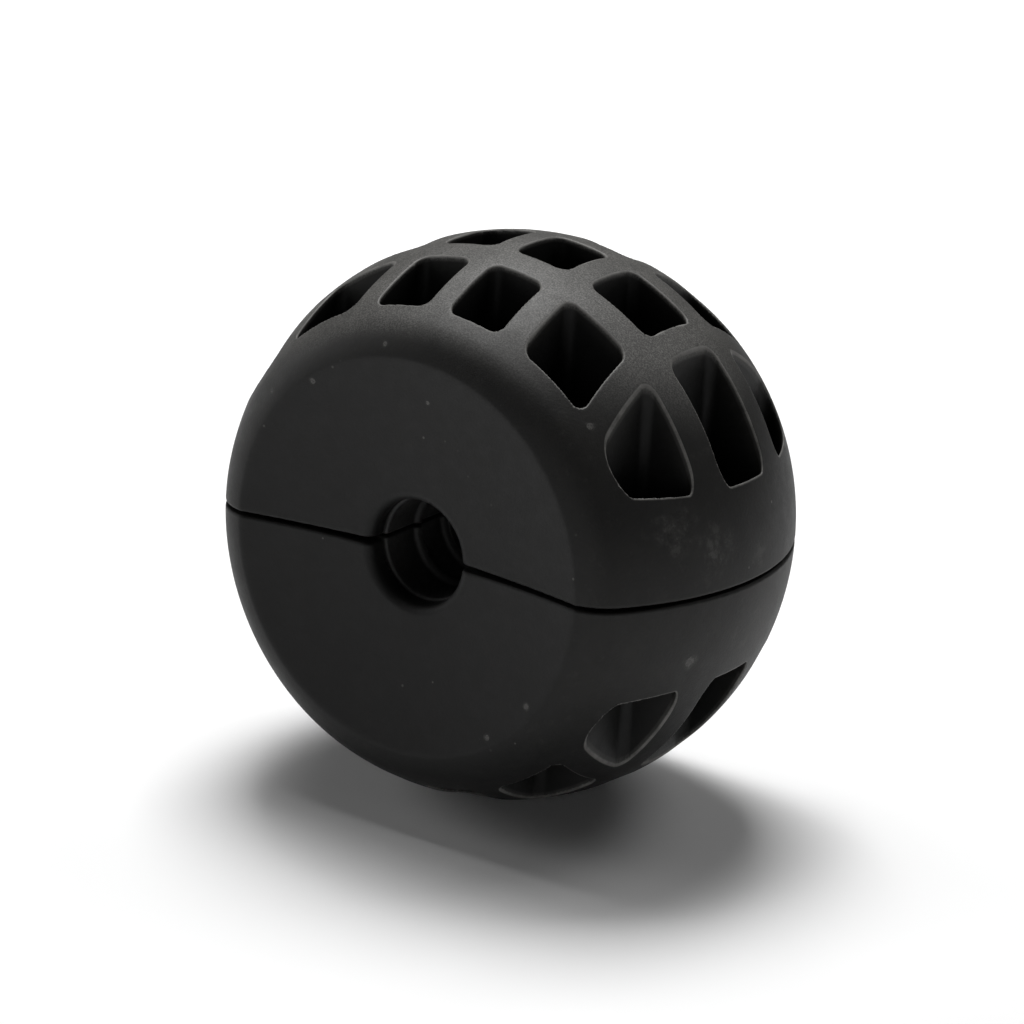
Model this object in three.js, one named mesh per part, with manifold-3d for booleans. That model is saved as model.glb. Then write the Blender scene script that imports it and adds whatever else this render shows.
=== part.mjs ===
// Clamp-on ball: two moulded half shells that close round a hose, cord or line.
// The ball is split on its horizontal mid-plane. Each half has a lattice of blind pockets that open away from the
// parting plane, a dished round end face at each end of the bore, and half of the bore with its grip liner.
// Four screws pass through pocket floors and pull the halves together on washers and nuts.
//
// Units: millimetres. Origin: centre of the ball. X: across the ball. Y: along the bore. Z: up, square to the parting plane.
import * as THREE from "three";
import { mergeVertices } from "three/addons/utils/BufferGeometryUtils.js";
import Module from "manifold-3d";

// ---- driving dimensions -------------------------------------------------------------------------------------------
const BALL_R = 35; // outer radius of the ball
const FACE_Y = 22.8; // half width over the flat lands at the rims of the end faces
const DISH_R = 23.9; // radius at which an end face starts to dish in
const LAND_R = 24.7; // outer radius of the flat land round the dish
const DISH_DEPTH = 2.7; // how far an end face would dish in on the bore axis
const BORE_R = 6.5; // radius of the bore at its two mouths
const MOUTH_CHAMFER = 0.8; // break of the bore's edge at each mouth
const PARTING_GAP = 0.4; // gap between the two halves when clamped

const LINER_R = 8.0; // outer radius of the grip liner
const LINER_IN_R = 6.2; // inner radius of the grip liner
const LINER_Y = 17.3; // half length of the liner
const LINER_GAP = 0.3; // play of the liner in its recess
const RIB_R = 5.6; // inner radius of the liner's grip ribs
const RIB_PITCH = 5.5; // spacing of the grip ribs along the bore
const RIB_HALF = 0.7; // half width of a grip rib at its root

const PITCH_COLS = [
  [1.65, 8.7],
  [12.3, 20.65],
  [23.75, 40],
]; // pocket walls in X on one side of the ball; the last column runs out to the rim wall
const PITCH_ROWS = [
  [-18.2, -9.1],
  [-4.7, 4.7],
  [9.1, 18.2],
]; // pocket walls in Y
const RIM_X = 1.9,
  RIM_R = 30.9; // offset in X and plan radius of the round wall that closes the outermost pockets on one side
const POCKET_CORNER = 1.3; // radius of the pockets' upright corners
const DRAFT = Math.tan((0.5 * Math.PI) / 180); // mould draft of the pocket walls
const DRAFT_Z = 20; // height at which the pocket walls have their nominal size
const FLOOR_Z = 5; // height of the pocket floors above the mid-plane
const CORE_FLOOR_Z = 11; // height of the floors of the pockets over the bore

const SCREW_X = 16.5,
  SCREW_Y = 13.45; // the four screws stand at +-X, +-Y
const SCREW_R = 2.0; // M4 shank
const HOLE_R = 2.3; // clearance hole for the shank
const HEAD_R = 3.5,
  HEAD_H = 4.0; // socket head
const HEX_AF = 3.0,
  HEX_DEPTH = 2.0; // hexagon socket in the head
const SCREW_L = 16; // length under the head
const WASHER_R = 3.9,
  WASHER_T = 0.8;
const NUT_AF = 7.0,
  NUT_CORNER_R = 3.9, // radius over the nut's rounded-off corners
  NUT_H = 3.2;
const SEAT_GAP = 0.1; // gap between stacked faces
const SEG = 64; // segments round the ball

// ---- helpers -------------------------------------------------------------------------------------------------------
const wasm = await Module();
wasm.setup();

function toSolid(geometry) {
  const g = geometry.clone();
  for (const name of Object.keys(g.attributes))
    if (name !== "position") g.deleteAttribute(name);
  const m = mergeVertices(g, 1e-4);
  return new wasm.Manifold(
    new wasm.Mesh({
      numProp: 3,
      vertProperties: new Float32Array(m.attributes.position.array),
      triVerts: new Uint32Array(m.index.array),
    }),
  );
}

function toGeometry(solid) {
  const m = solid.getMesh(),
    n = m.numProp,
    v = new Float32Array((m.vertProperties.length / n) * 3);
  for (let i = 0; i < v.length / 3; i++)
    v.set(m.vertProperties.subarray(i * n, i * n + 3), i * 3);
  const g = new THREE.BufferGeometry();
  g.setAttribute("position", new THREE.BufferAttribute(v, 3));
  g.setIndex(new THREE.BufferAttribute(new Uint32Array(m.triVerts), 1));
  g.computeVertexNormals();
  return g;
}

// A box between two corners.
function boxSolid(x0, y0, z0, x1, y1, z1) {
  const g = new THREE.BoxGeometry(x1 - x0, y1 - y0, z1 - z0);
  g.translate((x0 + x1) / 2, (y0 + y1) / 2, (z0 + z1) / 2);
  return toSolid(g);
}

// An upright cylinder or prism from z0 to z1, with its sides turned by turn radians.
function post(r, z0, z1, sides = 20, turn = 0) {
  const g = new THREE.CylinderGeometry(r, r, z1 - z0, sides);
  g.rotateY(turn);
  g.rotateX(Math.PI / 2);
  g.translate(0, 0, (z0 + z1) / 2);
  return g;
}

// A closed profile of [radius, y] points turned round the bore axis, as a closed ring.
function ringSolid(profile, segments) {
  const pts = profile.map(([r, y]) => new THREE.Vector2(r, y));
  pts.push(pts[0].clone());
  let s = toSolid(new THREE.LatheGeometry(pts, segments));
  if (s.volume() < 0) {
    pts.reverse();
    s = toSolid(new THREE.LatheGeometry(pts, segments));
  }
  return s;
}

// Rounds the corners of a closed outline of [x, y] points that runs anticlockwise.
function roundOutline(outline, radius, steps) {
  const out = [],
    n = outline.length;
  for (let i = 0; i < n; i++) {
    const a = new THREE.Vector2(...outline[(i + n - 1) % n]),
      b = new THREE.Vector2(...outline[i]),
      c = new THREE.Vector2(...outline[(i + 1) % n]);
    const u = a.clone().sub(b),
      v = c.clone().sub(b),
      lu = u.length(),
      lv = v.length();
    u.normalize();
    v.normalize();
    const angle = Math.acos(THREE.MathUtils.clamp(u.dot(v), -1, 1));
    if (angle > 2.8) {
      out.push([b.x, b.y]);
      continue;
    }
    const t = Math.min(radius / Math.tan(angle / 2), 0.45 * lu, 0.45 * lv),
      r = t * Math.tan(angle / 2);
    const mid = u.clone().add(v).normalize(),
      centre = b.clone().addScaledVector(mid, r / Math.sin(angle / 2));
    const p = b.clone().addScaledVector(u, t).sub(centre),
      q = b.clone().addScaledVector(v, t).sub(centre);
    const a0 = Math.atan2(p.y, p.x);
    let turn = Math.atan2(q.y, q.x) - a0;
    while (turn > Math.PI) turn -= 2 * Math.PI;
    while (turn < -Math.PI) turn += 2 * Math.PI;
    for (let k = 0; k <= steps; k++) {
      const w = a0 + (turn * k) / steps;
      out.push([centre.x + r * Math.cos(w), centre.y + r * Math.sin(w)]);
    }
  }
  return out;
}

// The plan outline of a pocket, grown by grow on every side.
function pocketOutline(col, row, grow) {
  const [x0, x1] = PITCH_COLS[col],
    [y0, y1] = PITCH_ROWS[row];
  const a = x0 - grow,
    c = y0 - grow,
    d = y1 + grow;
  let outline;
  if (col < PITCH_COLS.length - 1) {
    outline = [
      [a, c],
      [x1 + grow, c],
      [x1 + grow, d],
      [a, d],
    ];
  } else {
    const r = RIM_R + grow;
    outline = [[a, c]];
    for (let k = 0; k <= 4; k++) {
      const y = c + ((d - c) * k) / 4;
      outline.push([RIM_X + Math.sqrt(r * r - y * y), y]);
    }
    outline.push([a, d]);
  }
  return roundOutline(outline, POCKET_CORNER, 2);
}

// A pocket as a closed tapering solid, from its floor to above the ball.
function pocketSolid(col, row) {
  const z0 = col === 0 ? CORE_FLOOR_Z : FLOOR_Z,
    z1 = BALL_R + 2;
  const low = pocketOutline(col, row, (z0 - DRAFT_Z) * DRAFT),
    high = pocketOutline(col, row, (z1 - DRAFT_Z) * DRAFT),
    n = low.length;
  const v = [],
    t = [];
  low.forEach(([x, y]) => v.push(x, y, z0));
  high.forEach(([x, y]) => v.push(x, y, z1));
  const flat = THREE.ShapeUtils.triangulateShape(
    low.map(([x, y]) => new THREE.Vector2(x, y)),
    [],
  );
  for (const [a, b, c] of flat) {
    t.push(a, c, b);
    t.push(a + n, b + n, c + n);
  }
  for (let i = 0; i < n; i++) {
    const j = (i + 1) % n;
    t.push(i, j, j + n, i, j + n, i + n);
  }
  const g = new THREE.BufferGeometry();
  g.setAttribute(
    "position",
    new THREE.BufferAttribute(new Float32Array(v), 3),
  );
  g.setIndex(t);
  return toSolid(g);
}

// ---- the ball's body of revolution -----------------------------------------------------------------------------------
const dishY = (r) => FACE_Y - DISH_DEPTH * (1 - (r / DISH_R) ** 2);
const BLEND_R =
  (BALL_R ** 2 - FACE_Y ** 2 - LAND_R ** 2) / (2 * (BALL_R - FACE_Y)); // fillet tangent to the ball and to the land

function bodyProfile() {
  const half = []; // from the bore out to the ball's equator, on the +Y side
  half.push([LINER_R + LINER_GAP, LINER_Y + LINER_GAP]);
  half.push([BORE_R, LINER_Y + LINER_GAP]);
  half.push([BORE_R, dishY(BORE_R + MOUTH_CHAMFER) - MOUTH_CHAMFER]);
  for (const r of [BORE_R + MOUTH_CHAMFER, 12, 16, 20, DISH_R])
    half.push([r, dishY(r)]);
  const cy = FACE_Y - BLEND_R,
    end = Math.atan2(LAND_R, cy); // angle from the bore axis at which the fillet meets the ball
  for (let k = 0; k <= 4; k++) {
    const a = (end * k) / 4;
    half.push([LAND_R + BLEND_R * Math.sin(a), cy + BLEND_R * Math.cos(a)]);
  }
  const steps = 5;
  for (let k = 1; k < steps; k++) {
    const a = end + ((Math.PI / 2 - end) * k) / steps;
    half.push([BALL_R * Math.sin(a), BALL_R * Math.cos(a)]);
  }
  const other = half.map(([r, y]) => [r, -y]).reverse();
  return [...half, [BALL_R, 0], ...other];
}

const whole = ringSolid(bodyProfile(), SEG);
let upper = whole.intersect(
  boxSolid(-40, -40, PARTING_GAP / 2, 40, 40, BALL_R + 5),
);
for (let row = 0; row < 3; row++)
  for (let col = 0; col < 3; col++) {
    const p = pocketSolid(col, row);
    upper = upper.subtract(p).subtract(p.mirror([1, 0, 0]));
  }
for (const sx of [-1, 1])
  for (const sy of [-1, 1])
    upper = upper.subtract(
      toSolid(post(HOLE_R, -1, FLOOR_Z + 1)).translate([
        sx * SCREW_X,
        sy * SCREW_Y,
        0,
      ]),
    );
const lower = upper.mirror([0, 0, 1]);

// ---- grip liner ------------------------------------------------------------------------------------------------------
function linerProfile() {
  const inner = [];
  for (let k = -2; k <= 2; k++) {
    const y = k * RIB_PITCH;
    inner.push([LINER_IN_R, y - RIB_HALF]);
    inner.push([RIB_R, y - RIB_HALF / 3]);
    inner.push([RIB_R, y + RIB_HALF / 3]);
    inner.push([LINER_IN_R, y + RIB_HALF]);
  }
  return [
    [LINER_IN_R, -LINER_Y],
    ...inner,
    [LINER_IN_R, LINER_Y],
    [LINER_R, LINER_Y],
    [LINER_R, -LINER_Y],
  ];
}
const linerWhole = ringSolid(linerProfile(), 32);
const linerUpper = linerWhole.intersect(
  boxSolid(-12, -30, PARTING_GAP / 2, 12, 30, 12),
);
const linerLower = linerUpper.mirror([0, 0, 1]);

// ---- fasteners, each in its own frame with its axis on Z --------------------------------------------------------------
const headSeat = FLOOR_Z + SEAT_GAP + WASHER_T + SEAT_GAP; // underside of the screw head
const hexR = (af) => af / Math.sqrt(3);
const screwSolid = toSolid(post(HEAD_R, headSeat, headSeat + HEAD_H))
  .add(toSolid(post(SCREW_R, headSeat - SCREW_L, headSeat + 0.5, 16)))
  .subtract(
    toSolid(
      post(
        hexR(HEX_AF),
        headSeat + HEAD_H - HEX_DEPTH,
        headSeat + HEAD_H + 1,
        6,
      ),
    ),
  );
const washerSolid = toSolid(post(WASHER_R, 0, WASHER_T)).subtract(
  toSolid(post(HOLE_R, -1, WASHER_T + 1, 16)),
);
const nutSolid = toSolid(post(hexR(NUT_AF), 0, NUT_H, 6, 0))
  .intersect(toSolid(post(NUT_CORNER_R, -1, NUT_H + 1, 24)))
  .subtract(toSolid(post(HOLE_R, -1, NUT_H + 1, 16)));

// ---- materials -------------------------------------------------------------------------------------------------------
const shellBlack = new THREE.MeshStandardMaterial({
  color: 0x1b1b1b,
  roughness: 0.55,
  metalness: 0,
});
const linerBlack = new THREE.MeshStandardMaterial({
  color: 0x141414,
  roughness: 0.8,
  metalness: 0,
});
const screwSteel = new THREE.MeshStandardMaterial({
  color: 0x33343a,
  roughness: 0.4,
  metalness: 1,
});
const plainSteel = new THREE.MeshStandardMaterial({
  color: 0xb9bbbf,
  roughness: 0.35,
  metalness: 1,
});

// ---- assembly --------------------------------------------------------------------------------------------------------
const ball = new THREE.Group();
ball.name = "clamp_on_ball";

function add(parent, name, geometry, material, position = [0, 0, 0]) {
  const mesh = new THREE.Mesh(geometry, material);
  mesh.name = name;
  mesh.position.set(...position);
  parent.add(mesh);
  return mesh;
}

const upperGroup = new THREE.Group(),
  lowerGroup = new THREE.Group();
ball.add(upperGroup, lowerGroup);
add(upperGroup, "upper_half", toGeometry(upper), shellBlack);
add(lowerGroup, "lower_half", toGeometry(lower), shellBlack.clone());
add(upperGroup, "upper_grip_liner", toGeometry(linerUpper), linerBlack);
add(lowerGroup, "lower_grip_liner", toGeometry(linerLower), linerBlack.clone());

let n = 0;
for (const [sx, sy] of [
  [-1, -1],
  [1, -1],
  [1, 1],
  [-1, 1],
]) {
  n += 1;
  const x = sx * SCREW_X,
    y = sy * SCREW_Y;
  add(
    upperGroup,
    "clamp_screw_" + n,
    toGeometry(screwSolid),
    screwSteel.clone(),
    [x, y, 0],
  );
  add(
    upperGroup,
    "head_washer_" + n,
    toGeometry(washerSolid),
    plainSteel.clone(),
    [x, y, FLOOR_Z + SEAT_GAP],
  );
  add(
    lowerGroup,
    "nut_washer_" + n,
    toGeometry(washerSolid),
    plainSteel.clone(),
    [x, y, -(FLOOR_Z + SEAT_GAP + WASHER_T)],
  );
  add(
    lowerGroup,
    "clamp_nut_" + n,
    toGeometry(nutSolid),
    plainSteel.clone(),
    [x, y, -(headSeat + NUT_H)],
  );
}

export default ball;
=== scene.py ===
import math
import numpy as np
import bmesh
import bpy
from mathutils import Matrix, Vector


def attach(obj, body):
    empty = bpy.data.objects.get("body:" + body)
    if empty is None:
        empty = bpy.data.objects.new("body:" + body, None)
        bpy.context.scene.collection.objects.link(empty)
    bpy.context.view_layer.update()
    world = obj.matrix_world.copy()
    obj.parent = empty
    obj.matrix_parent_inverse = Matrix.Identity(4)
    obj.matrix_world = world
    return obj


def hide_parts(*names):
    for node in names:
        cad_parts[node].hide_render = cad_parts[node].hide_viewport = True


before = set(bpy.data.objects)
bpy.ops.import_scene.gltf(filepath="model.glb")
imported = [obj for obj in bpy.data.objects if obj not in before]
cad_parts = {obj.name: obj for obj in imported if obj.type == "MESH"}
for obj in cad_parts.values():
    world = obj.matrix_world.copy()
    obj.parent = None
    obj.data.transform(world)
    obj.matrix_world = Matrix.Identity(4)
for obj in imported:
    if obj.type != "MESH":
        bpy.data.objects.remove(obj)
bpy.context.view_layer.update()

MM = 0.001

# ---------------------------------------------------------------------------------------------------------------------
# Dimensions of the ball in millimetres, in the row's frame
# ---------------------------------------------------------------------------------------------------------------------
BALL_R = 35.0
FACE_Y = 22.8
CREASE_R = 24.3  # middle of the narrow land at the rim of an end face
DISH_DEPTH = 2.7
BORE_R = 6.5
RECESS_R = 8.3
RECESS_Y = 17.6
HALF_GAP = 0.2
COLS = [(1.65, 8.7), (12.3, 20.65), (23.75, 32.8)]
RIM_X = 1.9
RIM_R = 30.9
ROW_EDGE = 4.7
ROW_OUT = (9.1, 18.2)
CORNER = 1.3
DRAFT = math.tan(math.radians(0.5))
DRAFT_Z = 20.0
FLOOR_Z = 5.0
CORE_FLOOR_Z = 11.0
SCREWS = [(-16.5, -13.45), (16.5, -13.45), (16.5, 13.45), (-16.5, 13.45)]
HOLE_R = 2.3
LINER_R, LINER_IN_R, LINER_Y = 8.0, 6.2, 17.3
RIB_PITCH, RIB_R = 5.5, 5.6
HEAD_SEAT, HEAD_R, HEAD_H = 6.0, 3.5, 4.0
SHANK_R, SCREW_L, THREAD_PITCH, THREAD_END = 2.0, 16.0, 0.7, 3.0
WASHER_R, WASHER_T = 3.9, 0.8
NUT_AF, NUT_CORNER_R, NUT_H = 7.0, 3.9, 3.2


def rmax(a, b, r):
    """Intersection of two distance fields with its edge rounded to r."""
    return np.minimum(-r, np.maximum(a, b)) + np.hypot(np.maximum(r + a, 0), np.maximum(r + b, 0))


FALL = math.radians(10)  # slope of the shoulder where it leaves the land
FALL_S, FALL_C = math.sin(FALL), math.cos(FALL)
BLEND_R = (BALL_R ** 2 - FACE_Y ** 2 - CREASE_R ** 2) / (2 * (BALL_R - FACE_Y * FALL_C - CREASE_R * FALL_S))


def shoulder(rho, ay):
    """Distance to the ball with flat ends, with a rolled shoulder between them that runs tangent into the ball."""
    sphere = np.hypot(rho, ay) - BALL_R
    plane = ay - FACE_Y
    cx, cy = CREASE_R - BLEND_R * FALL_S, FACE_Y - BLEND_R * FALL_C
    fillet = np.hypot(rho - cx, ay - cy) - BLEND_R
    ang_in = (ay > cy) & ((rho - cx) * FALL_C > (ay - cy) * FALL_S) & ((rho - cx) * cy < (ay - cy) * cx)
    out = np.maximum(sphere, plane)
    return np.where(ang_in, fillet, out)


def pocket2d(ax, ay, col, row):
    """Plan distance to a pocket's nominal outline, for one quarter of the ball."""
    x0, x1 = COLS[col]
    y0, y1 = (-ROW_EDGE, ROW_EDGE) if row == 0 else ROW_OUT
    cy, hy = (y0 + y1) / 2, (y1 - y0) / 2
    if col < 2:
        cx, hx = (x0 + x1) / 2, (x1 - x0) / 2
        qx, qy = np.abs(ax - cx) - (hx - CORNER), np.abs(ay - cy) - (hy - CORNER)
        return np.hypot(np.maximum(qx, 0), np.maximum(qy, 0)) + np.minimum(np.maximum(qx, qy), 0) - CORNER
    d = rmax(x0 - ax, np.abs(ay - cy) - hy, CORNER)
    return rmax(d, np.hypot(ax - RIM_X, ay) - RIM_R, CORNER)


LIP = 0.32  # edge round at the mouth of a pocket


def half_shell(x, y, z):
    ax, ay = np.abs(x), np.abs(y)
    rho = np.hypot(x, z)
    body = shoulder(rho, ay)
    dish = ay - (FACE_Y - DISH_DEPTH * (1 - (rho / CREASE_R) ** 2))
    body = rmax(body, dish, 0.12)
    body = rmax(body, BORE_R - rho, 1.1)
    recess = np.maximum(rho - RECESS_R, ay - RECESS_Y)
    body = np.maximum(body, -recess)
    pockets = None
    for col in range(3):
        floor = CORE_FLOOR_Z if col == 0 else FLOOR_Z
        for row in range(2):
            d = pocket2d(ax, ay, col, row) - (z - DRAFT_Z) * DRAFT
            d = rmax(d, floor - z, 0.9)
            pockets = d if pockets is None else np.minimum(pockets, d)
    body = rmax(body, -pockets, LIP)
    # the split line opens a little towards the bore on the end faces
    k = np.clip((ay - 15.0) / 6.0, 0, 1)
    opening = HALF_GAP + 0.2 * k * k * (3 - 2 * k) * np.exp(-np.maximum(ax - BORE_R, 0) / 6.0)
    body = rmax(body, opening - z, 0.35)
    hole = HOLE_R - np.hypot(ax - 16.5, ay - 13.45)
    body = np.maximum(body, hole)
    return body


def field_gradient(f, p, h=0.01):
    g = np.empty_like(p)
    for a in range(3):
        q = p.copy()
        q[:, a] += h
        hi = f(q[:, 0], q[:, 1], q[:, 2])
        q[:, a] -= 2 * h
        lo = f(q[:, 0], q[:, 1], q[:, 2])
        g[:, a] = (hi - lo) / (2 * h)
    return g


def surface_nets(values, lines):
    """One quad mesh round the negative cells of a field sampled on a rectilinear grid."""
    s = values < 0
    nx, ny, nz = values.shape
    count = np.zeros((nx - 1, ny - 1, nz - 1), np.int8)
    for dx in (0, 1):
        for dy in (0, 1):
            for dz in (0, 1):
                count += s[dx:nx - 1 + dx, dy:ny - 1 + dy, dz:nz - 1 + dz]
    active = (count > 0) & (count < 8)
    cell = np.full(active.shape, -1, np.int64)
    ai, aj, ak = np.nonzero(active)
    cell[ai, aj, ak] = np.arange(len(ai))
    base = np.stack([ai, aj, ak], 1).astype(float)
    at, n = np.zeros((len(ai), 3)), np.zeros(len(ai))
    corners = [(a, b, c) for a in (0, 1) for b in (0, 1) for c in (0, 1)]
    for a in corners:
        for b in corners:
            if sum(abs(p - q) for p, q in zip(a, b)) != 1 or a > b:
                continue
            va = values[ai + a[0], aj + a[1], ak + a[2]]
            vb = values[ai + b[0], aj + b[1], ak + b[2]]
            m = (va < 0) != (vb < 0)
            t = np.where(m, va / np.where(m, va - vb, 1), 0)
            p = np.array(a, float)[None] + t[:, None] * (np.array(b, float) - np.array(a, float))[None]
            at[m] += p[m]
            n[m] += 1
    at = base + at / n[:, None]
    pos = np.stack([np.interp(at[:, a], np.arange(len(lines[a])), lines[a]) for a in range(3)], 1)
    quads = []
    for axis in range(3):
        sa = np.moveaxis(s, axis, 0)
        ca = np.moveaxis(cell, axis, 0)
        if axis == 1:  # keep the two other axes in cyclic order (z, x)
            sa, ca = np.swapaxes(sa, 1, 2), np.swapaxes(ca, 1, 2)
        inner = sa[:, 1:-1, 1:-1]
        i, j, k = np.nonzero(inner[:-1] != inner[1:])
        outward = inner[:-1][i, j, k]
        q = np.stack([ca[i, j, k], ca[i, j + 1, k], ca[i, j + 1, k + 1], ca[i, j, k + 1]], 1)
        q[~outward] = q[~outward][:, ::-1]
        quads.append(q)
    return pos, np.concatenate(quads)


def settle(f, p, rounds=3, most=0.3):
    """Moves points onto the zero surface of f."""
    for _ in range(rounds):
        g = field_gradient(f, p)
        v = f(p[:, 0], p[:, 1], p[:, 2])
        step = v / np.maximum((g ** 2).sum(1), 0.05)
        p = p - np.clip(step, -most, most)[:, None] * g
    return p


def mesh_object(name, verts_mm, faces, mirror=(1, 1, 1)):
    """A Blender object from points in millimetres; a mirrored copy keeps its faces outward."""
    m = np.array(mirror, float)
    v = np.asarray(verts_mm) * m * MM
    f = np.asarray(faces)
    if np.prod(m) < 0:
        f = f[:, ::-1]
    mesh = bpy.data.meshes.new(name)
    nv, nf, k = len(v), len(f), f.shape[1]
    mesh.vertices.add(nv)
    mesh.vertices.foreach_set("co", v.astype(np.float32).ravel())
    mesh.loops.add(nf * k)
    mesh.loops.foreach_set("vertex_index", f.astype(np.int32).ravel())
    mesh.polygons.add(nf)
    mesh.polygons.foreach_set("loop_start", np.arange(0, nf * k, k, dtype=np.int32))
    mesh.update(calc_edges=True)
    mesh.validate()
    o = bpy.data.objects.new(name, mesh)
    bpy.context.scene.collection.objects.link(o)
    return o


def shaded_by_field(o, f, mirror=(1, 1, 1)):
    """Smooth shading with the field's own normals."""
    mesh = o.data
    n = len(mesh.vertices)
    co = np.empty(n * 3, np.float32)
    mesh.vertices.foreach_get("co", co)
    m = np.array(mirror, float)
    p = co.reshape(-1, 3).astype(float) / MM * m
    g = field_gradient(f, p, 0.04) * m
    g /= np.maximum(np.linalg.norm(g, axis=1), 1e-9)[:, None]
    mesh.polygons.foreach_set("use_smooth", np.ones(len(mesh.polygons), bool))
    mesh.normals_split_custom_set_from_vertices(g.tolist())
    mesh.update()


def thinned(o, ratio):
    d = o.modifiers.new("thin", "DECIMATE")
    d.ratio = ratio
    d.use_collapse_triangulate = True
    dg = bpy.context.evaluated_depsgraph_get()
    mesh = bpy.data.meshes.new_from_object(o.evaluated_get(dg))
    old = o.data
    o.modifiers.clear()
    o.data = mesh
    bpy.data.meshes.remove(old)
    n = len(mesh.vertices)
    co = np.empty(n * 3, np.float32)
    mesh.vertices.foreach_get("co", co)
    f = np.array([list(p.vertices) for p in mesh.polygons])
    return co.reshape(-1, 3).astype(float) / MM, f


def steps(start, *runs):
    """Grid lines from start, in runs of (end, spacing)."""
    out = [start]
    for end, h in runs:
        n = max(1, round((end - out[-1]) / h))
        out += list(np.linspace(out[-1], end, n + 1)[1:])
    return np.array(out)


def mirrored_field(f, half, h, lines=None):
    """Samples a field that is even in x and y on a grid, from one quarter of it."""
    hx, hy, z0, z1 = half
    if lines:
        xs, ys, zs = lines
    else:
        xs = (np.arange(int(hx / h) + 1) + 0.5) * h
        ys = (np.arange(int(hy / h) + 1) + 0.5) * h
        zs = np.arange(z0, z1 + h, h)
    X, Y, Z = np.meshgrid(xs, ys, zs, indexing="ij")
    v = f(X, Y, Z)
    v = np.concatenate([v[::-1], v], 0)
    v = np.concatenate([v[:, ::-1], v], 1)
    return v, (np.concatenate([-xs[::-1], xs]), np.concatenate([-ys[::-1], ys]), zs)


# ---------------------------------------------------------------------------------------------------------------------
# Studio lights: name, azimuth, elevation, power in watts, size in metres
# ---------------------------------------------------------------------------------------------------------------------
LIGHTS = [
    ("key_above_behind", 130, 70, 3.22, 0.26),
    ("key_left_top", 170, 70, 0.85, 0.26),
    ("right_back", 60, 50, 0.53, 0.26),
    ("left_back", 210, 25, 0.42, 0.30),
    ("left_low", 188, 6, 0.38, 0.30),
    ("front_low", 290, 6, 0.26, 0.30),
    ("right_low", 0, 6, 0.13, 0.30),
]
GAIN = 1.12
WASH = 6.0
WORLD = 0.01
TOP_DUST_AND_LIGHT = 0.54  # how much of the settled dust and painted top light covers the top of the ball


# ---------------------------------------------------------------------------------------------------------------------
# Camera
# ---------------------------------------------------------------------------------------------------------------------
CAM_RIGHT = Vector((0.82546, 0.56168, 0.05594)).normalized()
CAM_FORWARD = Vector((-0.51856, 0.79375, -0.31791)).normalized()
CAM_LENS = 126.65
CAM_D = 12.654 * BALL_R * MM
CAM_PX = 3602.6
CAM_OFF = (-1.46, 2.19)  # where the ball's centre falls, in pixels right of and below the picture's centre


def make_camera():
    down = CAM_FORWARD.cross(CAM_RIGHT).normalized()
    right = down.cross(CAM_FORWARD).normalized()
    data = bpy.data.cameras.new("camera")
    data.sensor_width = 36.0
    data.lens = CAM_LENS
    data.clip_start, data.clip_end = 0.01, 50
    cam = bpy.data.objects.new("camera", data)
    bpy.context.scene.collection.objects.link(cam)
    m = Matrix((
        (right.x, -down.x, -CAM_FORWARD.x, 0),
        (right.y, -down.y, -CAM_FORWARD.y, 0),
        (right.z, -down.z, -CAM_FORWARD.z, 0),
        (0, 0, 0, 1)))
    k = CAM_D / CAM_PX
    place = -(right * CAM_OFF[0] * k + down * CAM_OFF[1] * k + CAM_FORWARD * CAM_D)
    m.translation = place
    cam.matrix_world = m
    bpy.context.scene.camera = cam
    return cam


# ---------------------------------------------------------------------------------------------------------------------
# Pieces
# ---------------------------------------------------------------------------------------------------------------------
def build_halves():
    h = 0.3
    fine = 0.12  # across the thin lower lips of the outermost pockets
    xs = steps(h / 2, (26.4, h), (33.4, fine), (35.7, h))
    ys = steps(h / 2, (23.3, h))
    zs = steps(-0.4, (11.2, h), (14.2, h / 2), (35.7, h))
    v, lines = mirrored_field(half_shell, (0, 0, 0, 0), h, (xs, ys, zs))
    p, q = surface_nets(v, lines)
    p = settle(half_shell, p)
    raw = mesh_object("raw_half", p, q)
    p, q = thinned(raw, 0.295)
    p = settle(half_shell, p, 2, 0.1)
    bpy.data.objects.remove(raw)
    out = []
    for name, sign in (("upper_half_shell", 1), ("lower_half_shell", -1)):
        o = mesh_object(name, p, q, (1, 1, sign))
        shaded_by_field(o, half_shell, (1, 1, sign))
        out.append(o)
    return out


def liner_half(x, y, z):
    """The grip liner: a half sleeve with rounded beads inside it."""
    ax, ay = np.abs(x), np.abs(y)
    rho = np.hypot(x, z)
    ring = rmax(rmax(rho - LINER_R, LINER_IN_R - rho, 0.05), ay - LINER_Y, 0.35)
    near = np.clip(np.round(ay / RIB_PITCH), 0, 2) * RIB_PITCH
    bead = np.hypot(rho - LINER_IN_R - 0.1, ay - near) - (LINER_IN_R + 0.1 - RIB_R)
    k = 0.35
    m = np.maximum(k - np.abs(ring - bead), 0) / k
    body = np.minimum(ring, bead) - m * m * k * 0.25
    body = np.maximum(body, rho - LINER_R)
    return rmax(body, HALF_GAP - z, 0.22)


def build_liners():
    h = 0.22
    v, lines = mirrored_field(liner_half, (8.5, 17.8, -0.3, 8.5), h)
    p, q = surface_nets(v, lines)
    p = settle(liner_half, p)
    raw = mesh_object("raw_liner", p, q)
    p, q = thinned(raw, 0.5)
    p = settle(liner_half, p, 2, 0.1)
    bpy.data.objects.remove(raw)
    out = []
    for name, sign in (("upper_liner_sleeve", 1), ("lower_liner_sleeve", -1)):
        o = mesh_object(name, p, q, (1, 1, sign))
        shaded_by_field(o, liner_half, (1, 1, sign))
        out.append(o)
    return out


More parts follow.
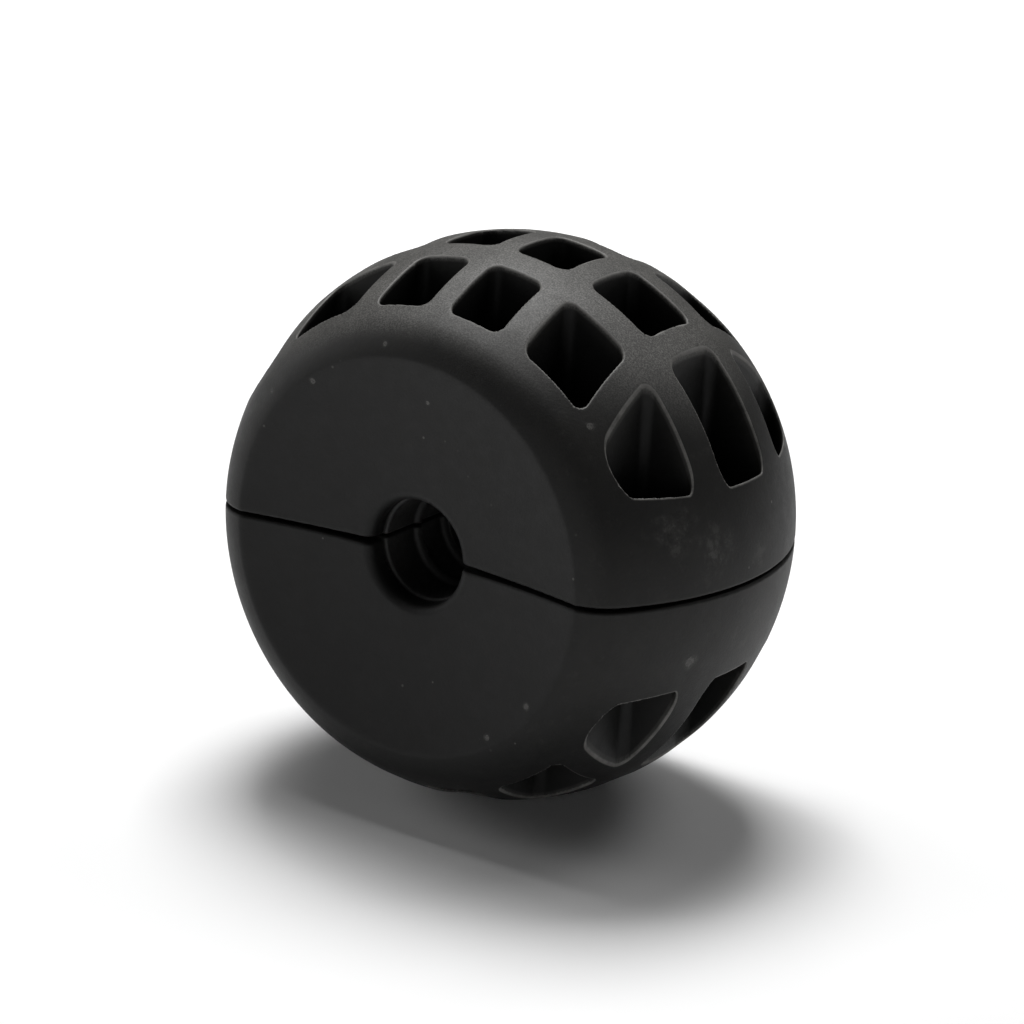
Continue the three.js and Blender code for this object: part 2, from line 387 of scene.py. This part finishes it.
def ring_stack(name, rings, closed, at=(0, 0, 0), flip=False, sharp=28):
    """A solid from rings of points (each n by 3, in millimetres, anticlockwise from above). An open stack, which runs
    from the lowest ring to the highest one, ends in a fan at each end; a closed one joins its last ring to its first."""
    n = len(rings[0])
    pts = [np.asarray(r, float) for r in rings]
    m = len(pts)
    faces = []
    idx = np.arange(n)
    nxt = (idx + 1) % n
    for i in range(m if closed else m - 1):
        a, b = i * n, ((i + 1) % m) * n
        faces += np.stack([a + idx, a + nxt, b + nxt, b + idx], 1).tolist()
    verts = np.concatenate(pts)
    if not closed:
        lo, hi = len(verts), len(verts) + 1
        verts = np.concatenate([verts, pts[0].mean(0)[None], pts[-1].mean(0)[None]])
        faces += [[lo, int(b), int(a)] for a, b in zip(idx, nxt)]
        faces += [[hi, int((m - 1) * n + a), int((m - 1) * n + b)] for a, b in zip(idx, nxt)]
    if flip:
        faces = [f[::-1] for f in faces]
    mesh = bpy.data.meshes.new(name)
    mesh.from_pydata(((verts + np.array(at)) * MM).tolist(), [], faces)
    mesh.update()
    bm = bmesh.new()
    bm.from_mesh(mesh)
    for f in bm.faces:
        f.smooth = True
    for e in bm.edges:
        e.smooth = e.calc_face_angle(0.0) < math.radians(sharp)
    bm.to_mesh(mesh)
    bm.free()
    o = bpy.data.objects.new(name, mesh)
    bpy.context.scene.collection.objects.link(o)
    return o


def circle(r, z, n):
    t = np.arange(n) * 2 * math.pi / n
    r = np.broadcast_to(r, t.shape)
    return np.stack([r * np.cos(t), r * np.sin(t), np.broadcast_to(z, t.shape)], 1)


def hexagon(af, n, turn=0.0):
    """Radius of a hexagon round its axis."""
    t = np.arange(n) * 2 * math.pi / n + turn
    w = (t + math.pi / 6) % (math.pi / 3) - math.pi / 6
    return af / 2 / np.cos(w)


def thread_radius(z, n, crest, depth):
    """Radius of a right-hand thread at height z."""
    t = np.arange(n) / n
    phase = (z / THREAD_PITCH - t) % 1.0
    tri = np.abs(phase - 0.5) * 2
    return crest - depth * np.clip((tri - 0.12) / 0.76, 0, 1)


def build_screw(name, x, y):
    n = 96
    foot, seat, top = HEAD_SEAT - SCREW_L, HEAD_SEAT, HEAD_SEAT + HEAD_H
    rings = [circle(0.9, foot, n), circle(1.35, foot, n), circle(1.5, foot + 0.12, n)]
    z = foot + 0.25
    last = seat - THREAD_END
    while z < last:
        cap = min(1.56 + (z - foot) * 0.9, SHANK_R - 0.03)
        run_out = np.clip((last - z) / 0.9, 0, 1)
        rings.append(circle(np.minimum(thread_radius(z, n, SHANK_R - 0.03, 0.4 * run_out), cap), z, n))
        z += THREAD_PITCH / 6
    rings += [circle(SHANK_R - 0.02, last, n), circle(SHANK_R - 0.02, seat - 0.02, n)]
    t = np.arange(n)
    groove = np.where(t % 3 == 0, 0.09, 0.0)
    rings += [circle(r, h, n) for r, h in ((HEAD_R - 0.4, seat), (HEAD_R - 0.2, seat), (HEAD_R - 0.09, seat + 0.07), (HEAD_R - 0.09, seat + 0.3))]
    rings += [circle(HEAD_R - groove, seat + 0.42, n), circle(HEAD_R - groove, top - 0.55, n)]
    rings += [circle(HEAD_R - 0.09, top - 0.42, n), circle(HEAD_R - 0.11, top - 0.3, n), circle(HEAD_R - 0.2, top - 0.12, n), circle(HEAD_R - 0.36, top - 0.02, n), circle(HEAD_R - 0.5, top, n)]
    hexr = hexagon(3.0, n)
    rings += [circle(1.95, top, n), circle(np.minimum(hexr + 0.08, 1.86), top - 0.08, n), circle(hexr, top - 0.2, n)]
    rings += [circle(hexr, top - 1.95, n), circle(hexr - 0.12, top - 2.0, n), circle(0.5, top - 2.4, n)]
    o = ring_stack(name, rings, False, (x, y, 0))
    return o


def build_washer(name, x, y, z0):
    n = 72
    r0, r1, t = 2.25, WASHER_R, WASHER_T
    prof = [(r0, 0.08), (r0 + 0.06, 0.0), (r1 - 0.1, 0.0), (r1 - 0.02, 0.05), (r1, 0.14), (r1, t - 0.22), (r1 - 0.05, t - 0.1), (r1 - 0.14, t - 0.03),
            (r1 - 0.27, t), (r0 + 0.12, t), (r0 + 0.03, t - 0.04), (r0, t - 0.12)]
    return ring_stack(name, [circle(r, h, n) for r, h in prof], True, (x, y, z0))


def build_nut(name, x, y, z0):
    n = 96
    hexr = np.minimum(hexagon(NUT_AF, n), NUT_CORNER_R)

    def outer(h):
        edge = min(h, NUT_H - h)
        return circle(np.minimum(hexr, 3.32 + 1.73 * edge), h, n)

    rings = [outer(h) for h in (0.0, 0.04, 0.08, 0.12, 0.16, 0.2, 0.24, 0.28, 0.32, 0.36, NUT_H / 2)]
    rings += [outer(NUT_H - h) for h in (0.36, 0.32, 0.28, 0.24, 0.2, 0.16, 0.12, 0.08, 0.04, 0.0)]
    inner = []
    h = 0.0
    while h <= NUT_H + 1e-6:
        mouth = max(0.0, 0.28 - min(h, NUT_H - h))
        inner.append(circle(np.maximum(2.12 + 0.25 - (thread_radius(h, n, 0.25, 0.25)), 2.12 + mouth), h, n))
        h += NUT_H / 28
    rings += inner[::-1]
    return ring_stack(name, rings, True, (x, y, z0))


def node(nt, kind, **values):
    n = nt.nodes.new(kind)
    for k, v in values.items():
        if k.startswith("in_"):
            key = k[3:]
            n.inputs[int(key) if key.isdigit() else key].default_value = v
        else:
            setattr(n, k, v)
    return n


def ramp(nt, source, stops):
    r = nt.nodes.new("ShaderNodeValToRGB")
    e = r.color_ramp.elements
    while len(e) < len(stops):
        e.new(0.5)
    for el, (pos, v) in zip(e, stops):
        el.position = pos
        el.color = v if len(v) == 4 else (*v, 1)
    nt.links.new(source, r.inputs[0])
    return r


def grey(v):
    return (v, v, v, 1)


def mix_colour(nt, fac, a, b, mode="MIX"):
    m = nt.nodes.new("ShaderNodeMix")
    m.data_type = "RGBA"
    m.blend_type = mode
    for socket, v in ((m.inputs[0], fac), (m.inputs[6], a), (m.inputs[7], b)):
        if hasattr(v, "is_linked"):
            nt.links.new(v, socket)
        else:
            socket.default_value = v
    return m.outputs[2]


def maths(nt, op, *args):
    """One maths node; numbers are set on its sockets and sockets are linked to them."""
    n = nt.nodes.new("ShaderNodeMath")
    n.operation = op
    for i, v in enumerate(args):
        if hasattr(v, "is_linked"):
            nt.links.new(v, n.inputs[i])
        else:
            n.inputs[i].default_value = v
    return n.outputs[0]


def smooth(nt, value, lo, hi):
    n = node(nt, "ShaderNodeMapRange", interpolation_type="SMOOTHSTEP", in_1=lo, in_2=hi)
    nt.links.new(value, n.inputs["Value"])
    return n.outputs[0]


def mouth_distance(nt, x, y, z):
    """Distance in mm from the walls of the nearest pocket, over the outside of the ball: the field's plan distance as nodes."""
    ax, ay, az = (maths(nt, "ABSOLUTE", v) for v in (x, y, z))
    cols = []
    for x0, x1 in COLS[:2]:
        cols.append(maths(nt, "SUBTRACT", maths(nt, "ABSOLUTE", maths(nt, "SUBTRACT", ax, (x0 + x1) / 2)), (x1 - x0) / 2))
    dx = maths(nt, "SUBTRACT", ax, RIM_X)
    plan = maths(nt, "SQRT", maths(nt, "ADD", maths(nt, "MULTIPLY", dx, dx), maths(nt, "MULTIPLY", ay, ay)))
    cols.append(maths(nt, "MAXIMUM", maths(nt, "SUBTRACT", COLS[2][0], ax), maths(nt, "SUBTRACT", plan, RIM_R)))
    col = maths(nt, "MINIMUM", maths(nt, "MINIMUM", cols[0], cols[1]), cols[2])
    mid, half = sum(ROW_OUT) / 2, (ROW_OUT[1] - ROW_OUT[0]) / 2
    row = maths(nt, "MINIMUM", maths(nt, "SUBTRACT", ay, ROW_EDGE), maths(nt, "SUBTRACT", maths(nt, "ABSOLUTE", maths(nt, "SUBTRACT", ay, mid)), half))
    # intersection with its corners rounded
    a, b = (maths(nt, "MAXIMUM", maths(nt, "ADD", v, CORNER), 0.0) for v in (col, row))
    rounded = maths(nt, "SQRT", maths(nt, "ADD", maths(nt, "MULTIPLY", a, a), maths(nt, "MULTIPLY", b, b)))
    d = maths(nt, "ADD", maths(nt, "MINIMUM", maths(nt, "MAXIMUM", col, row), -CORNER), rounded)
    return maths(nt, "SUBTRACT", d, maths(nt, "MULTIPLY", maths(nt, "SUBTRACT", az, DRAFT_Z), DRAFT))


# handling scuffs: centre and reach in mm, and how pale they are
SCUFFS = [
    ((31.6, -13.0, 8.6), 4.2, 0.55),
    ((33.8, -7.6, 5.4), 4.6, 0.50),
    ((34.8, 0.8, 3.3), 3.6, 0.40),
    ((33.6, 1.0, -6.0), 8.0, 0.35),
    ((32.6, -9.8, -8.1), 1.7, 0.75),
    ((-14.2, -22.7, 18.9), 0.7, 0.95),
    ((-20.4, -21.9, 16.0), 0.8, 0.95),
    ((-18.9, -24.1, 14.8), 0.6, 0.95),
    ((18.5, -22.5, -13.8), 0.7, 0.95),
    ((13.3, -22.6, -19.1), 0.7, 0.95),
    ((1.9, -21.9, 19.5), 0.5, 0.95),
    ((-1.8, -23.1, 26.2), 0.9, 0.95),
    ((-4.2, -22.2, 25.4), 0.7, 0.95),
    ((22.0, -18.2, 20.3), 0.8, 0.95),
    ((14.1, -13.4, 29.1), 2.2, 0.45),
    ((-24.0, -12.0, 22.4), 2.6, 0.4),
    ((5.0, 22.0, 26.8), 2.4, 0.4),
    ((-33.0, 6.0, 10.0), 3.0, 0.45),
]


def shell_material():
    """Moulded black plastic: fine grain, dust and handling scuffs on the ball's outer surface, painted top light,
    painted shade in the pockets and underneath, and pale worn pocket mouths with a painted edge highlight.
    """
    m = bpy.data.materials.new("shell_plastic")
    m.use_nodes = True
    nt = m.node_tree
    b = nt.nodes["Principled BSDF"]
    where = nt.nodes.new("ShaderNodeTexCoord").outputs["Object"]
    grain = node(nt, "ShaderNodeTexNoise", in_Scale=2600.0, in_Detail=4.0, in_Roughness=0.7)
    grit = node(nt, "ShaderNodeTexNoise", in_Scale=5200.0, in_Detail=3.0, in_Roughness=0.7)
    mottle = node(nt, "ShaderNodeTexNoise", in_Scale=150.0, in_Detail=5.0, in_Roughness=0.6)
    wear = node(nt, "ShaderNodeTexNoise", in_Scale=520.0, in_Detail=6.0, in_Roughness=0.75)
    specks = node(nt, "ShaderNodeTexVoronoi", in_Scale=620.0, in_Randomness=1.0)
    few = node(nt, "ShaderNodeTexNoise", in_Scale=95.0, in_Detail=2.0)
    for n in (grain, grit, mottle, wear, specks, few):
        nt.links.new(where, n.inputs["Vector"])
    # the point in mm
    mm = node(nt, "ShaderNodeVectorMath", operation="SCALE")
    nt.links.new(where, mm.inputs[0])
    mm.inputs["Scale"].default_value = 1000.0
    split = nt.nodes.new("ShaderNodeSeparateXYZ")
    nt.links.new(mm.outputs[0], split.inputs[0])
    x, y, z = split.outputs
    reach = node(nt, "ShaderNodeVectorMath", operation="LENGTH")
    nt.links.new(mm.outputs[0], reach.inputs[0])
    out = reach.outputs["Value"]
    rho = maths(nt, "SQRT", maths(nt, "ADD", maths(nt, "MULTIPLY", x, x), maths(nt, "MULTIPLY", z, z)))
    # 1 on the round outside, 0 in the pockets and on the end faces; the pockets are painted darker through it, as shade
    outer = smooth(nt, out, 32.5, 34.7)
    # painted shade and light: the pockets and the underside are painted darker as shade, and the end faces keep the
    # darker base too; the upper outside takes a paler base that is partly dust and partly painted light
    shaded_plain_base = ramp(nt, mottle.outputs["Fac"], [(0.3, (0.0046, 0.0046, 0.0045)), (0.7, (0.0060, 0.0060, 0.0059))])
    dust_and_lit_base = ramp(nt, mottle.outputs["Fac"], [(0.3, (0.0078, 0.0076, 0.0072)), (0.7, (0.0120, 0.0116, 0.0108))])
    base = mix_colour(nt, maths(nt, "MULTIPLY", outer, smooth(nt, z, -24.0, -6.0)), shaded_plain_base.outputs["Color"], dust_and_lit_base.outputs["Color"])
    # settled dust and painted top light: paler towards the top, and none by the rims of the end faces
    height_to_top = maths(nt, "SUBTRACT", z, maths(nt, "MULTIPLY", maths(nt, "ABSOLUTE", y), 0.35))
    height_to_top = maths(nt, "ADD", height_to_top, maths(nt, "MULTIPLY", maths(nt, "MAXIMUM", maths(nt, "MULTIPLY", x, -1.0), 0.0), 0.3))
    dust_and_top_light = maths(nt, "MULTIPLY", smooth(nt, height_to_top, 14.0, 28.0), smooth(nt, rho, 25.2, 28.6))
    dust_and_top_light = maths(nt, "MULTIPLY", dust_and_top_light, smooth(nt, out, 34.2, 34.9))
    gritty = ramp(nt, grit.outputs["Fac"], [(0.36, grey(0.3)), (0.50, grey(0.9)), (0.62, grey(1.9))])
    layer = ramp(nt, mottle.outputs["Fac"], [(0.3, grey(0.75)), (0.7, grey(1.15))])
    dust_and_top_light_amount = maths(nt, "MULTIPLY", maths(nt, "MULTIPLY", dust_and_top_light, gritty.outputs["Color"]), layer.outputs["Color"])
    base = mix_colour(nt, maths(nt, "MINIMUM", maths(nt, "MULTIPLY", dust_and_top_light_amount, TOP_DUST_AND_LIGHT), 1.0), base, (0.130, 0.127, 0.120, 1))
    # random pale dust, a quarter as strong in the pockets and on the end faces, which paints shade into the pockets
    dust = ramp(nt, wear.outputs["Fac"], [(0.56, grey(0.0)), (0.70, grey(0.35)), (0.8, grey(0.7))])
    dust_with_pocket_shade = mix_colour(nt, 1.0, dust.outputs["Color"], ramp(nt, outer, [(0.0, grey(0.25)), (1.0, grey(1.0))]).outputs["Color"], "MULTIPLY")
    col = mix_colour(nt, dust_with_pocket_shade, base, (0.030, 0.0290, 0.0270, 1))
    # scuffs, broken up by the wear noise
    scuffed = None
    for centre, r, pale in SCUFFS:
        far = node(nt, "ShaderNodeVectorMath", operation="DISTANCE")
        nt.links.new(mm.outputs[0], far.inputs[0])
        far.inputs[1].default_value = centre
        one = maths(nt, "MULTIPLY", smooth(nt, far.outputs["Value"], r, r * 0.15), pale)
        scuffed = one if scuffed is None else maths(nt, "MAXIMUM", scuffed, one)
    rubbed = ramp(nt, wear.outputs["Fac"], [(0.40, grey(0.0)), (0.52, grey(0.35)), (0.62, grey(1.0))])
    nicked = maths(nt, "MULTIPLY", smooth(nt, scuffed, 0.5, 0.75), gritty.outputs["Color"])
    col = mix_colour(nt, maths(nt, "MINIMUM", maths(nt, "MAXIMUM", maths(nt, "MULTIPLY", scuffed, rubbed.outputs["Color"]), nicked), 1.0), col, (0.074, 0.0725, 0.069, 1))
    dot = ramp(nt, specks.outputs["Distance"], [(0.0, grey(1.0)), (0.075, grey(1.0)), (0.13, grey(0.0))])
    thin = ramp(nt, few.outputs["Fac"], [(0.5, grey(0.0)), (0.62, grey(1.0))])
    gate = mix_colour(nt, 1.0, dot.outputs["Color"], thin.outputs["Color"], "MULTIPLY")
    pick = ramp(nt, specks.outputs["Color"], [(0.78, grey(0.0)), (0.84, grey(0.75))])
    gate = mix_colour(nt, 1.0, gate, pick.outputs["Color"], "MULTIPLY")
    col = mix_colour(nt, gate, col, (0.10, 0.097, 0.090, 1))
    # the worn line round the mouth of each pocket, also a painted edge highlight
    d = mouth_distance(nt, x, y, z)
    mouth_wear_and_highlight = maths(nt, "MULTIPLY", smooth(nt, d, -0.02, 0.05), smooth(nt, d, 0.30, 0.18))
    mouth_wear_and_highlight = maths(nt, "MULTIPLY", mouth_wear_and_highlight, smooth(nt, out, 34.25, 34.55))
    patchy = ramp(nt, wear.outputs["Fac"], [(0.34, grey(0.45)), (0.60, grey(1.0))])
    mouth_wear_and_highlight = maths(nt, "MULTIPLY", mouth_wear_and_highlight, patchy.outputs["Color"])
    col = mix_colour(nt, mouth_wear_and_highlight, col, (0.150, 0.147, 0.140, 1))
    nt.links.new(col, b.inputs["Base Color"])
    rough = ramp(nt, wear.outputs["Fac"], [(0.3, grey(0.50)), (0.7, grey(0.60))])
    nt.links.new(rough.outputs["Color"], b.inputs["Roughness"])
    b.inputs["Specular IOR Level"].default_value = 0.26
    bump = node(nt, "ShaderNodeBump", in_Strength=0.5, in_Distance=0.00006)
    nt.links.new(grain.outputs["Fac"], bump.inputs["Height"])
    wave = node(nt, "ShaderNodeBump", in_Strength=0.12, in_Distance=0.0003)
    nt.links.new(mottle.outputs["Fac"], wave.inputs["Height"])
    nt.links.new(wave.outputs["Normal"], bump.inputs["Normal"])
    nt.links.new(bump.outputs["Normal"], b.inputs["Normal"])
    return m


def rubber_material():
    """Soft black rubber with a matt skin."""
    m = bpy.data.materials.new("liner_rubber")
    m.use_nodes = True
    nt = m.node_tree
    b = nt.nodes["Principled BSDF"]
    where = nt.nodes.new("ShaderNodeTexCoord").outputs["Object"]
    skin = node(nt, "ShaderNodeTexNoise", in_Scale=1800.0, in_Detail=4.0, in_Roughness=0.65)
    bloom = node(nt, "ShaderNodeTexNoise", in_Scale=180.0, in_Detail=3.0)
    for n in (skin, bloom):
        nt.links.new(where, n.inputs["Vector"])
    base = ramp(nt, bloom.outputs["Fac"], [(0.35, (0.010, 0.010, 0.010)), (0.7, (0.017, 0.0165, 0.016))])
    nt.links.new(base.outputs["Color"], b.inputs["Base Color"])
    rough = ramp(nt, skin.outputs["Fac"], [(0.3, grey(0.55)), (0.7, grey(0.72))])
    nt.links.new(rough.outputs["Color"], b.inputs["Roughness"])
    bump = node(nt, "ShaderNodeBump", in_Strength=0.3, in_Distance=0.0001)
    nt.links.new(skin.outputs["Fac"], bump.inputs["Height"])
    nt.links.new(bump.outputs["Normal"], b.inputs["Normal"])
    return m


def black_steel_material():
    """Black oxide on alloy steel, oily and a little worn through."""
    m = bpy.data.materials.new("screw_steel")
    m.use_nodes = True
    nt = m.node_tree
    b = nt.nodes["Principled BSDF"]
    where = nt.nodes.new("ShaderNodeTexCoord").outputs["Object"]
    cloud = node(nt, "ShaderNodeTexNoise", in_Scale=700.0, in_Detail=5.0, in_Roughness=0.6)
    nt.links.new(where, cloud.inputs["Vector"])
    base = ramp(nt, cloud.outputs["Fac"], [(0.35, (0.030, 0.031, 0.034)), (0.62, (0.055, 0.055, 0.058)), (0.75, (0.16, 0.155, 0.15))])
    nt.links.new(base.outputs["Color"], b.inputs["Base Color"])
    b.inputs["Metallic"].default_value = 1.0
    rough = ramp(nt, cloud.outputs["Fac"], [(0.3, grey(0.32)), (0.7, grey(0.48))])
    nt.links.new(rough.outputs["Color"], b.inputs["Roughness"])
    bump = node(nt, "ShaderNodeBump", in_Strength=0.2, in_Distance=0.00004)
    nt.links.new(cloud.outputs["Fac"], bump.inputs["Height"])
    nt.links.new(bump.outputs["Normal"], b.inputs["Normal"])
    return m


def zinc_material():
    """Bright zinc plate with fine tumbling marks and a faint blue passivate."""
    m = bpy.data.materials.new("zinc_steel")
    m.use_nodes = True
    nt = m.node_tree
    b = nt.nodes["Principled BSDF"]
    where = nt.nodes.new("ShaderNodeTexCoord").outputs["Object"]
    tint = node(nt, "ShaderNodeTexNoise", in_Scale=260.0, in_Detail=3.0)
    marks = node(nt, "ShaderNodeTexNoise", in_Scale=1500.0, in_Detail=5.0, in_Roughness=0.7)
    for n in (tint, marks):
        nt.links.new(where, n.inputs["Vector"])
    base = ramp(nt, tint.outputs["Fac"], [(0.35, (0.50, 0.53, 0.58)), (0.65, (0.60, 0.60, 0.58))])
    nt.links.new(base.outputs["Color"], b.inputs["Base Color"])
    b.inputs["Metallic"].default_value = 1.0
    rough = ramp(nt, marks.outputs["Fac"], [(0.3, grey(0.24)), (0.7, grey(0.4))])
    nt.links.new(rough.outputs["Color"], b.inputs["Roughness"])
    bump = node(nt, "ShaderNodeBump", in_Strength=0.15, in_Distance=0.00005)
    nt.links.new(marks.outputs["Fac"], bump.inputs["Height"])
    nt.links.new(bump.outputs["Normal"], b.inputs["Normal"])
    return m


def make_stage():
    mesh = bpy.data.meshes.new("floor")
    s = 3.0
    z = -BALL_R * MM
    mesh.from_pydata([(-s, -s, z), (s, -s, z), (s, s, z), (-s, s, z)], [], [(0, 1, 2, 3)])
    floor = bpy.data.objects.new("floor", mesh)
    bpy.context.scene.collection.objects.link(floor)
    m = bpy.data.materials.new("floor_paint")
    m.use_nodes = True
    b = m.node_tree.nodes["Principled BSDF"]
    b.inputs["Base Color"].default_value = (0.9, 0.9, 0.9, 1)
    b.inputs["Roughness"].default_value = 0.9
    floor.data.materials.append(m)
    return floor


def softbox(name, azimuth, elevation, power, size, reach=0.6, size_y=None, target=(0, 0, 0)):
    """A soft area light that faces target, placed by the direction that its light comes from."""
    d = bpy.data.lights.new(name, "AREA")
    d.shape = "RECTANGLE"
    d.size, d.size_y = size, size_y or size
    d.energy = power
    a, e = math.radians(azimuth), math.radians(elevation)
    at = Vector((math.cos(e) * math.cos(a), math.cos(e) * math.sin(a), math.sin(e))) * reach
    o = bpy.data.objects.new(name, d)
    bpy.context.scene.collection.objects.link(o)
    o.location = at
    o.rotation_mode = "QUATERNION"
    o.rotation_quaternion = (Vector(target) - at).to_track_quat("-Z", "Y")
    o.visible_camera = False
    return o


def make_lights():
    w = bpy.data.worlds.new("studio")
    bpy.context.scene.world = w
    w.use_nodes = True
    bg = w.node_tree.nodes["Background"]
    bg.inputs["Color"].default_value = (1, 1, 1, 1)
    bg.inputs["Strength"].default_value = WORLD
    for name, az, el, power, size in LIGHTS:
        softbox(name, az, el, power * GAIN, size)
    a = math.radians(123)
    softbox("floor_wash", 123, 45, WASH, 0.7, reach=0.64, size_y=0.3, target=(1.3 * math.cos(a), 1.3 * math.sin(a), -0.035))


make_camera()
make_stage()
make_lights()
shell, rubber, black_steel, zinc = shell_material(), rubber_material(), black_steel_material(), zinc_material()


def place(o, node, body, slot, material):
    o.data.materials.append(material)
    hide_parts(node)
    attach(o, body)


upper, lower = build_halves()
place(upper, "upper_half", "upper_half", "shell_plastic", shell)
place(lower, "lower_half", "lower_half", "shell_plastic", shell)
upper, lower = build_liners()
place(upper, "upper_grip_liner", "upper_half", "liner_rubber", rubber)
place(lower, "lower_grip_liner", "lower_half", "liner_rubber", rubber)
for i, (x, y) in enumerate(SCREWS, 1):
    place(build_screw(f"socket_screw_{i}", x, y), f"clamp_screw_{i}", f"clamp_screw_{i}", "screw_steel", black_steel)
    place(build_washer(f"upper_washer_{i}", x, y, FLOOR_Z + 0.1), f"head_washer_{i}", "upper_half", "zinc_steel", zinc)
    place(build_washer(f"lower_washer_{i}", x, y, -FLOOR_Z - 0.1 - WASHER_T), f"nut_washer_{i}", "lower_half", "zinc_steel", zinc)
    place(build_nut(f"hex_nut_{i}", x, y, -HEAD_SEAT - NUT_H), f"clamp_nut_{i}", f"clamp_nut_{i}", "zinc_steel", zinc)

bpy.context.scene.view_settings.view_transform = "Standard"
